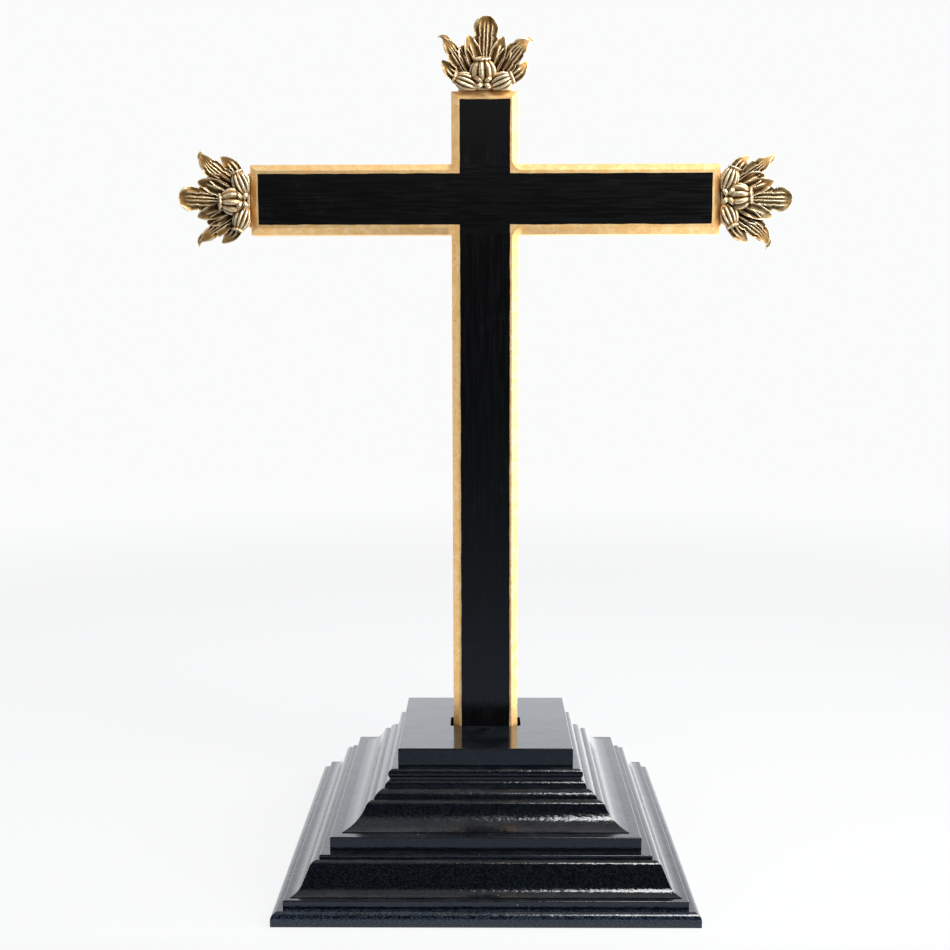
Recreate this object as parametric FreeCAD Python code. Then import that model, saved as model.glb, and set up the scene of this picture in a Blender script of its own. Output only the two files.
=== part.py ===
"""Altar cross: an ebonised wooden Latin cross with gilt edges and three cast leaf finials.

The cross lifts out of a mortise in a stepped, mitred plinth. Units are millimetres. The origin is the
centre of the underside of the plinth, +Z is up and the front of the cross faces -Y.
"""
import FreeCAD
import Part
import math
import os

V = FreeCAD.Vector

# ---- driving dimensions ------------------------------------------------------------------------
STOCK_W = 44.0          # width of the upright board
BEAM_W = 45.5           # width of the cross beam, which is left a little wider
STOCK_T = 18.0          # thickness of both boards
CHAMFER = 4.2           # chamfer round the front face
CUTTER_R = 3.0          # radius left by the chamfering cutter in the inner corners
BEAM_L = 309.0          # length of the cross beam
BEAM_Z = 442.6          # height of the beam's centre line
CROSS_TOP_Z = 511.9     # top end of the upright
REAR_EASE = 0.6         # round-over of the cross's rear edges

FELT_T = 0.8            # baize let into the underside of the base board
FELT_PROUD = 0.1        # how far it stands below the board's rim
FELT_INSET = 5.0
FELT_GAP = 0.2          # clearance round it in its recess
BASE_HALF = 130.0       # half the width of the square base board
BASE_TOP_Z = 8.6
BASE_NOSE_R = 4.0       # round-over of the base board's upper edge
BASE_EASE = 0.4         # eased lower edge

ARRIS_R = 0.7           # rounding of the mouldings' sharp edges
LOWER_INNER = 92.0      # half-width across the inner faces of the lower tier
LOWER_FOOT = (123.2, 13.8)     # half-width and top of the fillet at its foot
LOWER_QUIRK = (119.3, 14.2)    # where the hollow starts, a small step above that fillet
LOWER_HOLLOW_R = 9.2
LOWER_HOLLOW_TOE = 121.2       # half-width at which the hollow's circle lies level
LOWER_SLOPE = 67.0      # steepness of the straight above the hollow, in degrees
LOWER_SLOPE_L = 10.7
LOWER_ROUND_R = 4.0
LOWER_TOP = (103.3, 34.2)      # the fillet at its top

UPPER_INNER = 56.0      # the same for the upper tier
UPPER_BAND = (97.2, 43.1)
UPPER_QUIRK = (90.2, 43.55)
UPPER_HOLLOW_R = 19.2
UPPER_HOLLOW_TOE = 94.5
UPPER_SLOPE = 64.0
UPPER_SLOPE_L = 2.0
UPPER_ROUND_R = 4.1
OVOLO = ((71.9, 58.0), (69.9, 61.2), (66.3, 63.1))   # start, middle and end of the quarter round
BEAD = ((65.3, 63.7), (64.6, 65.7), (62.8, 67.2))    # the small round above it
UPPER_TOP_Z = BEAD[2][1]

DECK_T = 6.0
DECK_GAP = 0.2          # clearance of the deck board inside the lower tier

NECK_TOP_Z = 74.3
NECK_HALF = 60.2        # half-width to the centre of the neck board's nosing
NOSE_R = 3.0
NOSE_STEP = 0.2         # the nosing's overhang past the flat edge below it
TOP_BLOCK_Z = 86.5
TOP_BLOCK_HALF = 57.0
TOP_BLOCK_EASE = 0.7

MORTISE_W = 48.4        # along X
MORTISE_T = 19.6        # along Y
MORTISE_R = 1.6         # corner radius
SOCKET_BLOCK = (96.0, 64.0)

CORNER_BLOCK = 26.0
SCREW_SHANK_R = 2.0
SCREW_HEAD_R = 4.0
SCREW_HEAD_H = 2.4
BASE_SCREW_L = 22.0
DECK_SCREW_L = 24.0
DECK_SCREW_XY = (38.0, 22.0)
SCREW_SLOT = (0.9, 0.8)  # width and depth of the driver slot

STUD_R = 2.5            # threaded stud that carries each finial
STUD_IN_WOOD = 18.0
STUD_IN_FINIAL = 9.0

FINIAL_H = 47.0
FINIAL_ROOT = (19.5, 7.0, 5.5)   # half-width, half-depth and height of a finial's root
LEAF_BACK_Y = 3.2       # rear face of the leaves
LEAF_T = 4.4

OUT = "parts"


# ---- helpers -----------------------------------------------------------------------------------
def box(x0, x1, y0, y1, z0, z1):
    """A box between two corners."""
    return Part.makeBox(x1 - x0, y1 - y0, z1 - z0, V(x0, y0, z0))


def polygon(points):
    """A closed wire of straight edges."""
    return Part.makePolygon([*points, points[0]])


def save(name, shape):
    """Writes one sub-part."""
    shape = shape.removeSplitter() if len(shape.Solids) == 1 else shape
    shape.exportStep(os.path.join(OUT, name + ".step"))
    print(f"{name}: {len(shape.Solids)} solid(s), {shape.Volume / 1000:.2f} cm3, valid {shape.isValid()}")


class Profile:
    """A moulding section in the (half-width, height) plane, drawn as lines and arcs from a first point."""

    def __init__(self, r, z):
        self.at = V(r, 0, z)
        self.first = self.at
        self.heading = 0.0
        self.edges = []

    def to(self, r, z):
        """A straight stretch to (r, z)."""
        end = V(r, 0, z)
        self.heading = math.degrees(math.atan2(z - self.at.z, r - self.at.x))
        self.edges.append(Part.LineSegment(self.at, end).toShape())
        self.at = end
        return self

    def across(self, r):
        """A level stretch to half-width r."""
        return self.to(r, self.at.z)

    def up(self, z):
        """An upright stretch to height z."""
        return self.to(self.at.x, z)

    def run(self, length):
        """A straight stretch of that length the way the outline is heading."""
        a = math.radians(self.heading)
        return self.to(self.at.x + length * math.cos(a), self.at.z + length * math.sin(a))

    def head(self, degrees):
        """Sets which way the next stretch leaves, for a corner."""
        self.heading = degrees
        return self

    def arc(self, mid, end):
        """An arc through mid to end."""
        self.edges.append(Part.Arc(self.at, V(mid[0], 0, mid[1]), V(end[0], 0, end[1])).toShape())
        self.at = V(end[0], 0, end[1])
        return self

    def bend(self, radius, turn):
        """An arc that leaves the way the outline is heading and turns by so many degrees, left positive."""
        a = math.radians(self.heading)
        side = 1 if turn > 0 else -1
        centre = self.at + V(-math.sin(a), 0, math.cos(a)) * (radius * side)
        spoke = self.at - centre

        def spun(degrees):
            t = math.radians(degrees)
            return (centre.x + spoke.x * math.cos(t) - spoke.z * math.sin(t),
                    centre.z + spoke.x * math.sin(t) + spoke.z * math.cos(t))

        self.arc(spun(turn / 2), spun(turn))
        self.heading += turn
        return self

    def face(self):
        """The closed section as a face."""
        self.to(self.first.x, self.first.z)
        return Part.Face(Part.Wire(Part.__sortEdges__(self.edges)))


def mitred_strip(face, reach, turns):
    """Extrudes a section along Y, mitres both ends at 45 degrees and turns it about Z by quarter turns."""
    strip = face.copy()
    strip.translate(V(0, -reach, 0))
    strip = strip.extrude(V(0, 2 * reach, 0))
    wedge = Part.Face(polygon([V(0, 0, -1), V(2 * reach, -2 * reach, -1), V(2 * reach, 2 * reach, -1)]))
    strip = strip.common(wedge.extrude(V(0, 0, 200)))
    strip.rotate(V(0, 0, 0), V(0, 0, 1), 90 * turns)
    return strip


SIDES = {"right": 0, "rear": 1, "left": 2, "front": 3}


# ---- plinth ------------------------------------------------------------------------------------
def mortise(z0, z1):
    """The rectangular socket for the upright, with slightly rounded corners."""
    hole = box(-MORTISE_W / 2, MORTISE_W / 2, -MORTISE_T / 2, MORTISE_T / 2, z0, z1)
    upright_edges = [e for e in hole.Edges if abs(e.tangentAt(e.FirstParameter).z) > 0.99]
    return hole.makeFillet(MORTISE_R, upright_edges)


def wood_screw(x, y, z, length):
    """A countersunk slotted screw driven upwards, with its head's face at z."""
    head = Part.makeCone(SCREW_HEAD_R, SCREW_SHANK_R, SCREW_HEAD_H, V(x, y, z))
    tip = 3.0
    shank = Part.makeCylinder(SCREW_SHANK_R, length - SCREW_HEAD_H - tip, V(x, y, z + SCREW_HEAD_H))
    point = Part.makeCone(SCREW_SHANK_R, 0.4, tip, V(x, y, z + length - tip))
    width, depth = SCREW_SLOT
    slot = box(x - SCREW_HEAD_R, x + SCREW_HEAD_R, y - width / 2, y + width / 2, z - 1, z + depth)
    return head.fuse([shank, point]), slot


def screw_set(places, z, length):
    """The screws of one kind as separate solids, and the solid that clears their holes."""
    screws, holes = [], []
    for x, y in places:
        body, slot = wood_screw(x, y, z, length)
        screws.append(body.cut(slot))
        holes.append(body)
    return Part.makeCompound(screws), Part.makeCompound(holes)


def corners(dx, dy):
    """The four points at plus and minus dx, dy, with the name of each corner."""
    ends = {"front": -dy, "rear": dy}
    flanks = {"left": -dx, "right": dx}
    return {f"{end}_{flank}": (x, y) for end, y in ends.items() for flank, x in flanks.items()}


def base_board_blank():
    """A square board with a rounded upper edge, an eased lower edge and a shallow recess for the baize."""
    h = BASE_HALF
    board = box(-h, h, -h, h, FELT_PROUD, BASE_TOP_Z)
    rim = [e for e in board.Edges if abs(e.tangentAt(e.FirstParameter).z) < 0.01]
    upper = [e for e in rim if e.CenterOfMass.z > BASE_TOP_Z - 0.01]
    board = board.makeFillet(BASE_NOSE_R, upper)
    lower = [e for e in board.Edges
             if abs(e.tangentAt(e.FirstParameter).z) < 0.01 and abs(e.CenterOfMass.z - FELT_PROUD) < 0.01]
    r = h - FELT_INSET + FELT_GAP
    return board.makeFillet(BASE_EASE, lower).cut(box(-r, r, -r, r, 0, FELT_T))


def lower_section():
    """Lower tier: a fillet, a hollow that sweeps up to a round, and a narrow top fillet."""
    foot, quirk, top = LOWER_FOOT, LOWER_QUIRK, LOWER_TOP
    entry = 180 - math.degrees(math.asin((LOWER_HOLLOW_TOE - quirk[0]) / LOWER_HOLLOW_R))
    p = Profile(LOWER_INNER, BASE_TOP_Z)
    p.across(foot[0]).up(foot[1] - ARRIS_R).bend(ARRIS_R, 90)
    p.across(quirk[0]).up(quirk[1])
    p.head(entry).bend(LOWER_HOLLOW_R, 180 - LOWER_SLOPE - entry).run(LOWER_SLOPE_L)
    p.bend(LOWER_ROUND_R, LOWER_SLOPE)
    p.across(top[0]).up(top[1] - ARRIS_R).bend(ARRIS_R, 90)
    p.across(LOWER_INNER)
    return p.face()


def upper_section():
    """Upper tier: a flat band, a deep hollow, a round, a quarter round and a small bead."""
    band, quirk = UPPER_BAND, UPPER_QUIRK
    entry = 180 - math.degrees(math.asin((UPPER_HOLLOW_TOE - quirk[0]) / UPPER_HOLLOW_R))
    p = Profile(UPPER_INNER, LOWER_TOP[1])
    p.across(band[0]).up(band[1] - ARRIS_R).bend(ARRIS_R, 90)
    p.across(quirk[0]).up(quirk[1])
    p.head(entry).bend(UPPER_HOLLOW_R, 180 - UPPER_SLOPE - entry).run(UPPER_SLOPE_L)
    p.bend(UPPER_ROUND_R, UPPER_SLOPE)
    p.across(OVOLO[0][0]).arc(*OVOLO[1:])
    p.across(BEAD[0][0]).up(BEAD[0][1]).arc(*BEAD[1:])
    p.across(UPPER_INNER)
    return p.face()


def neck_blank():
    """A thin square board whose edge is a flat below a rounded nosing."""
    nose_z = NECK_TOP_Z - NOSE_R
    off = NOSE_R * math.sqrt(0.5)
    p = Profile(0.0, UPPER_TOP_Z)
    p.across(NECK_HALF + off - NOSE_STEP).up(nose_z - off).across(NECK_HALF + off)
    p.arc((NECK_HALF + NOSE_R, nose_z), (NECK_HALF, NECK_TOP_Z)).across(0.0)
    section = p.face()
    quarters = [mitred_strip(section, NECK_HALF * 2, turns) for turns in SIDES.values()]
    return quarters[0].fuse(quarters[1:]).removeSplitter()


def top_block_blank():
    """The square block that the cross stands in, with its upper arrises eased."""
    h = TOP_BLOCK_HALF
    block = box(-h, h, -h, h, NECK_TOP_Z, TOP_BLOCK_Z)
    upper = [e for e in block.Edges if e.CenterOfMass.z > TOP_BLOCK_Z - 0.01]
    return block.makeFillet(TOP_BLOCK_EASE, upper)


def build_plinth():
    """Every piece of the stepped plinth."""
    deck_z = LOWER_TOP[1] - DECK_T
    felt_half = BASE_HALF - FELT_INSET
    save("base_felt", box(-felt_half, felt_half, -felt_half, felt_half, 0, FELT_T))

    block_at = LOWER_INNER - CORNER_BLOCK / 2
    base_screws, base_holes = screw_set(corners(block_at, block_at).values(), FELT_T, BASE_SCREW_L)
    save("base_screws", base_screws)
    save("base_board", base_board_blank().cut(base_holes))
    half = CORNER_BLOCK / 2
    for name, (x, y) in corners(block_at, block_at).items():
        block = box(x - half, x + half, y - half, y + half, BASE_TOP_Z, deck_z)
        save("corner_block_" + name, block.cut(base_holes))

    lower, upper = lower_section(), upper_section()
    for side, turns in SIDES.items():
        save("lower_moulding_" + side, mitred_strip(lower, BASE_HALF, turns))
        save("upper_moulding_" + side, mitred_strip(upper, BASE_HALF, turns))

    deck_screws, deck_holes = screw_set(corners(*DECK_SCREW_XY).values(), deck_z, DECK_SCREW_L)
    save("deck_screws", deck_screws)
    d = LOWER_INNER - DECK_GAP
    save("deck_board", box(-d, d, -d, d, deck_z, LOWER_TOP[1]).cut(deck_holes))
    sx, sy = SOCKET_BLOCK[0] / 2, SOCKET_BLOCK[1] / 2
    socket = box(-sx, sx, -sy, sy, LOWER_TOP[1], UPPER_TOP_Z)
    save("socket_block", socket.cut(deck_holes).cut(mortise(LOWER_TOP[1] - 1, UPPER_TOP_Z + 1)))
    save("neck_board", neck_blank().cut(mortise(UPPER_TOP_Z - 1, NECK_TOP_Z + 1)))
    save("top_block", top_block_blank().cut(mortise(NECK_TOP_Z - 1, TOP_BLOCK_Z + 1)))


# ---- cross -------------------------------------------------------------------------------------
def cross_outline(inset, inner_r, y):
    """The outline of the cross in the plane y, drawn in by inset, with its inner corners at inner_r."""
    a = STOCK_W / 2 - inset
    b = BEAM_W / 2 - inset
    arm = BEAM_L / 2 - inset
    top = CROSS_TOP_Z - inset
    foot = LOWER_TOP[1]
    edges = []

    def line(p, q):
        edges.append(Part.LineSegment(V(p[0], y, p[1]), V(q[0], y, q[1])).toShape())

    def inner(sx, sz):
        """Ends and middle of the rounded inner corner in one quadrant."""
        cx, cz = sx * (a + inner_r), BEAM_Z + sz * (b + inner_r)
        k = inner_r * math.sqrt(0.5)
        return (cx, cz - sz * inner_r), (cx - sx * k, cz - sz * k), (cx - sx * inner_r, cz)

    def corner(sx, sz):
        beam_end, mid, upright_end = inner(sx, sz)
        pts = [V(q[0], y, q[1]) for q in (beam_end, mid, upright_end)]
        edges.append(Part.Arc(*pts).toShape())
        return beam_end, upright_end

    ends = {(sx, sz): corner(sx, sz) for sx in (-1, 1) for sz in (-1, 1)}
    for sx in (-1, 1):
        beam_low, upright_low = ends[(sx, -1)]
        beam_high, upright_high = ends[(sx, 1)]
        line((sx * a, foot), upright_low)
        line(beam_low, (sx * arm, BEAM_Z - b))
        line((sx * arm, BEAM_Z - b), (sx * arm, BEAM_Z + b))
        line((sx * arm, BEAM_Z + b), beam_high)
        line(upright_high, (sx * a, top))
    line((-a, top), (a, top))
    line((-a, foot), (a, foot))
    return Part.Wire(Part.__sortEdges__(edges))


def cross_blank():
    """The whole cross, square at the back and chamfered round its front face."""
    front, back = -STOCK_T / 2, STOCK_T / 2
    a, b = STOCK_W / 2, BEAM_W / 2
    upright = box(-a, a, front, back, LOWER_TOP[1], CROSS_TOP_Z)
    beam = box(-BEAM_L / 2, BEAM_L / 2, front, back, BEAM_Z - b, BEAM_Z + b)
    square = upright.fuse(beam).removeSplitter()
    wide = cross_outline(0.0, CUTTER_R, front + CHAMFER)
    narrow = cross_outline(CHAMFER, CUTTER_R + CHAMFER, front)
    slope = Part.makeLoft([wide, narrow], True, True)
    rear = box(-BEAM_L, BEAM_L, front + CHAMFER, back, 0, CROSS_TOP_Z + 1)
    blank = square.common(rear).fuse(square.common(slope)).removeSplitter()
    rear_edges = [e for e in blank.Edges if abs(e.CenterOfMass.y - back) < 1e-6]
    rim = [e for e in rear_edges if e.CenterOfMass.z > LOWER_TOP[1] + 1]
    return blank.makeFillet(REAR_EASE, rim)


def rod(radius, z0, z1):
    """A round bar on the Z axis between two heights."""
    return Part.makeCylinder(radius, z1 - z0, V(0, 0, z0))


# Each finial's place on the cross: name, angle turned about Y from pointing up, and the arm's end.
FINIALS = (
    ("top", 0.0, V(0, 0, CROSS_TOP_Z)),
    ("right", 90.0, V(BEAM_L / 2, 0, BEAM_Z)),
    ("left", -90.0, V(-BEAM_L / 2, 0, BEAM_Z)),
)


def placed(shape, angle, at):
    """A shape modelled pointing up at the origin, turned and moved to an arm's end."""
    shape = shape.copy()
    shape.rotate(V(0, 0, 0), V(0, 1, 0), angle)
    shape.translate(at)
    return shape


def build_cross():
    """The halved upright and beam: the beam runs through in front, and the upright behind."""
    blank = cross_blank()
    for _, angle, at in FINIALS:
        blank = blank.cut(placed(rod(STUD_R, -STUD_IN_WOOD, 1), angle, at))
    a, b = STOCK_W / 2, BEAM_W / 2
    big = 2 * BEAM_L
    beam_band = box(-big, big, -STOCK_T, STOCK_T, BEAM_Z - b, BEAM_Z + b)
    lap_rear = box(-a, a, 0, STOCK_T, BEAM_Z - b, BEAM_Z + b)
    beam = blank.common(beam_band).cut(lap_rear)
    save("cross_beam", beam)
    save("cross_upright", blank.cut(beam_band).fuse(blank.common(lap_rear)).removeSplitter())


# ---- finials -----------------------------------------------------------------------------------
def finger(base, tip, width, blunt, y0, y1):
    """One lobe of a leaf: a pointed or blunt oval between two curves, extruded from y0 to y1."""
    b, t = V(base[0], y0, base[1]), V(tip[0], y0, tip[1])
    along = t - b
    side = V(-along.z, 0, along.x).normalize() * width
    sides = []
    for s in (1, -1):
        low = b + along * 0.3 + side * (0.68 * s)
        high = t + side * (0.62 * s) - along * 0.04 if blunt else t - along * 0.34 + side * (0.52 * s)
        curve = Part.BezierCurve()
        curve.setPoles([b, low, high, t])
        sides.append(curve.toShape())
    return Part.Face(Part.Wire(Part.__sortEdges__(sides))).extrude(V(0, y1 - y0, 0))


def bud(base, tip, radius):
    """A small curled-over leaf at the front, as a turned tulip between two points."""
    b, t = V(*base), V(*tip)
    length = b.distanceToPoint(t)
    edges = [
        Part.Arc(V(0, 0, 0), V(radius, 0, length * 0.5), V(radius * 0.45, 0, length)).toShape(),
        Part.LineSegment(V(radius * 0.45, 0, length), V(0, 0, length)).toShape(),
        Part.LineSegment(V(0, 0, length), V(0, 0, 0)).toShape(),
    ]
    tulip = Part.Face(Part.Wire(edges)).revolve(V(0, 0, 0), V(0, 0, 1), 360)
    turn = FreeCAD.Rotation(V(0, 0, 1), t - b)
    return tulip.transformed(FreeCAD.Placement(b, turn).toMatrix())


# Lobes of the three leaves as (base, tip, width, blunt) in the plane of the leaves.
LOBES = (
    ((0.2, 4.0), (1.7, FINIAL_H), 15.0, True),
    ((-1.2, 8.0), (-9.4, 36.0), 8.0, False),
    ((1.5, 8.0), (12.8, 33.8), 8.0, False),
    ((-7.0, 3.0), (-28.6, 34.2), 9.5, False),
    ((-6.0, 4.0), (-13.3, 29.4), 8.0, True),
    ((-8.0, 3.0), (-26.0, 19.4), 8.0, True),
    ((8.0, 3.0), (33.2, 30.8), 9.5, False),
    ((7.0, 4.0), (17.2, 28.9), 7.5, True),
    ((9.0, 3.0), (28.8, 18.8), 8.5, True),
)
# Buds as (base, tip, greatest radius).
BUDS = (
    ((-0.3, -3.6, 3.5), (-0.9, -6.6, 20.5), 8.2),
    ((-7.5, -3.6, 1.0), (-17.0, -5.4, 9.5), 6.0),
    ((7.5, -3.6, 1.0), (16.5, -5.4, 9.5), 6.0),
)


def finial_blank():
    """A fan of three lobed leaves with three curled buds before it, on an oval root."""
    half_w, half_d, height = FINIAL_ROOT
    root = Part.makeCylinder(half_w, height).common(box(-half_w, half_w, -half_d, half_d, 0, height))
    y0, y1 = LEAF_BACK_Y - LEAF_T, LEAF_BACK_Y
    pieces = [finger(*lobe, y0, y1) for lobe in LOBES]
    pieces += [bud(*shape) for shape in BUDS]
    above = box(-BEAM_L, BEAM_L, -BEAM_L, BEAM_L, 0, FINIAL_H)
    return root.fuse(pieces).common(above).removeSplitter()


def build_finials():
    """Three identical castings and the studs that hold them."""
    blank = finial_blank().cut(rod(STUD_R, -1, STUD_IN_FINIAL))
    stud = rod(STUD_R, -STUD_IN_WOOD, STUD_IN_FINIAL)
    for name, angle, at in FINIALS:
        save("finial_" + name, placed(blank, angle, at))
        save("finial_stud_" + name, placed(stud, angle, at))


os.makedirs(OUT, exist_ok=True)
build_plinth()
build_cross()
build_finials()
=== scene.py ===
"""Looks of the altar cross: an ebonised cross with gilt edges and leaf finials on a stepped black plinth.

Lengths are metres unless a name or a comment says millimetres. +Z is up and the cross faces -Y.
"""
import logging
import math
from dataclasses import dataclass, field
from enum import Enum

import bpy
import numpy as np
from mathutils import Matrix, Vector


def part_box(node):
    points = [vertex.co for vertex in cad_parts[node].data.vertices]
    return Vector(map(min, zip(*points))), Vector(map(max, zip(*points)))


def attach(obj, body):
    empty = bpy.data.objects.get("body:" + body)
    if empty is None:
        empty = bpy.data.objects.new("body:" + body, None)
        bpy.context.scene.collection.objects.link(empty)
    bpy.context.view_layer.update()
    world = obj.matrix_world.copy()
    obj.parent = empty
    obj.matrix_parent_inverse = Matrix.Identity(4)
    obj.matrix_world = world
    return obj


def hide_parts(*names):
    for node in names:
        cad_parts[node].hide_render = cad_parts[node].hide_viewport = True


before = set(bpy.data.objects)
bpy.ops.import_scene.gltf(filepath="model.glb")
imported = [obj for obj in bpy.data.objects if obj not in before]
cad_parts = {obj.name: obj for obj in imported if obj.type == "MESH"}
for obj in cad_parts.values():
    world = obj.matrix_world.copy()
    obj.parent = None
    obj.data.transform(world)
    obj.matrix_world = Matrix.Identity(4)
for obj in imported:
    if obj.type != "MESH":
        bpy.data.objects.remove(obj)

LOG = logging.getLogger("altar_cross")
MM = 0.001

Colour = tuple[float, float, float]
Point = tuple[float, float, float]
Skin = tuple[np.ndarray, list[tuple[int, ...]]]
Socket = bpy.types.NodeSocket
Term = float | bpy.types.NodeSocket


# ---- wiring shaders ----------------------------------------------------------------------------
class Wiring:
    """Adds nodes to one node tree and joins them up."""

    def __init__(self, tree: bpy.types.NodeTree) -> None:
        """Starts on a tree.

        Args:
            tree: the material, world or group tree to add to.
        """
        self.tree = tree

    def node(self, kind: str, **settings: object) -> bpy.types.Node:
        """Adds a node.

        Args:
            kind: the node's type name.
            settings: its properties, such as a mode.

        Returns:
            The node.
        """
        made = self.tree.nodes.new(kind)
        for name, value in settings.items():
            setattr(made, name, value)
        return made

    def feed(self, socket: Socket, term: Term | tuple) -> None:
        """Gives a socket a plain value, or links another socket to it.

        Args:
            socket: the input.
            term: a number, a colour or vector, or an output socket.
        """
        if isinstance(term, bpy.types.NodeSocket):
            self.tree.links.new(term, socket)
        elif isinstance(term, tuple) and socket.type == "RGBA":
            socket.default_value = (*term[:3], 1.0)
        else:
            socket.default_value = term

    def math(self, operation: str, *terms: Term, clamp: bool = False) -> Socket:
        """Arithmetic on numbers.

        Args:
            operation: the Math node's operation.
            terms: its inputs in order.
            clamp: whether the result is held between 0 and 1.

        Returns:
            The result's socket.
        """
        made = self.node("ShaderNodeMath", operation=operation, use_clamp=clamp)
        for socket, term in zip(made.inputs, terms):
            self.feed(socket, term)
        return made.outputs[0]

    def span(self, value: Term, low: Term, high: Term, to_low: Term = 0.0, to_high: Term = 1.0) -> Socket:
        """Maps a value smoothly from one range to another, held at both ends.

        Args:
            value: what is mapped.
            low: where the first range starts.
            high: where it ends.
            to_low: the result at low.
            to_high: the result at high.

        Returns:
            The result's socket.
        """
        made = self.node("ShaderNodeMapRange", interpolation_type="SMOOTHSTEP")
        for socket, term in zip(made.inputs, (value, low, high, to_low, to_high)):
            self.feed(socket, term)
        return made.outputs[0]

    def mix(self, share: Term, first: Term | Colour, second: Term | Colour) -> Socket:
        """Mixes two colours.

        Args:
            share: how much of the second.
            first: the colour at 0.
            second: the colour at 1.

        Returns:
            The mixed colour's socket.
        """
        made = self.node("ShaderNodeMix", data_type="RGBA")
        self.feed(made.inputs[0], share)
        self.feed(made.inputs[6], first)
        self.feed(made.inputs[7], second)
        return made.outputs[2]

    def stretch(self, vector: Socket, per_metre: Point) -> Socket:
        """Scales a position along each axis.

        Args:
            vector: the position.
            per_metre: repeats per metre along X, Y and Z.

        Returns:
            The scaled position's socket.
        """
        made = self.node("ShaderNodeMapping")
        self.feed(made.inputs["Vector"], vector)
        made.inputs["Scale"].default_value = per_metre
        return made.outputs[0]

    def noise(self, vector: Socket, scale: Term = 1.0, detail: float = 2.0, rough: float = 0.5,
              twist: float = 0.0) -> Socket:
        """Cloudy noise from 0 to 1.

        Args:
            vector: the position to read it at.
            scale: repeats per unit.
            detail: how many finer layers it has.
            rough: how strong the finer layers are.
            twist: how far it is distorted.

        Returns:
            The noise value's socket.
        """
        made = self.node("ShaderNodeTexNoise")
        self.feed(made.inputs["Vector"], vector)
        self.feed(made.inputs["Scale"], scale)
        made.inputs["Detail"].default_value = detail
        made.inputs["Roughness"].default_value = rough
        made.inputs["Distortion"].default_value = twist
        return made.outputs[0]

    def place(self, group: bpy.types.NodeTree, **inputs: Term) -> bpy.types.Node:
        """Places an effect's group.

        Args:
            group: the effect.
            inputs: its inputs by name, with _ for a space.

        Returns:
            The group node.
        """
        made = self.node("ShaderNodeGroup", node_tree=group)
        for name, term in inputs.items():
            self.feed(made.inputs[name.replace("_", " ")], term)
        return made

    def parts(self, vector: Socket) -> tuple[Socket, Socket, Socket]:
        """Splits a vector.

        Args:
            vector: the vector.

        Returns:
            Its X, Y and Z sockets.
        """
        made = self.node("ShaderNodeSeparateXYZ")
        self.feed(made.inputs[0], vector)
        return made.outputs[0], made.outputs[1], made.outputs[2]


class Effect(Enum):
    """Effects that more than one finish uses."""

    BRUSHED_PAINT = "brushed paint ripple"
    NICKS = "dust specks and nicks"
    GOLD_LEAF = "worn gold leaf"
    SETTLED_DUST = "settled dust"


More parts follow.
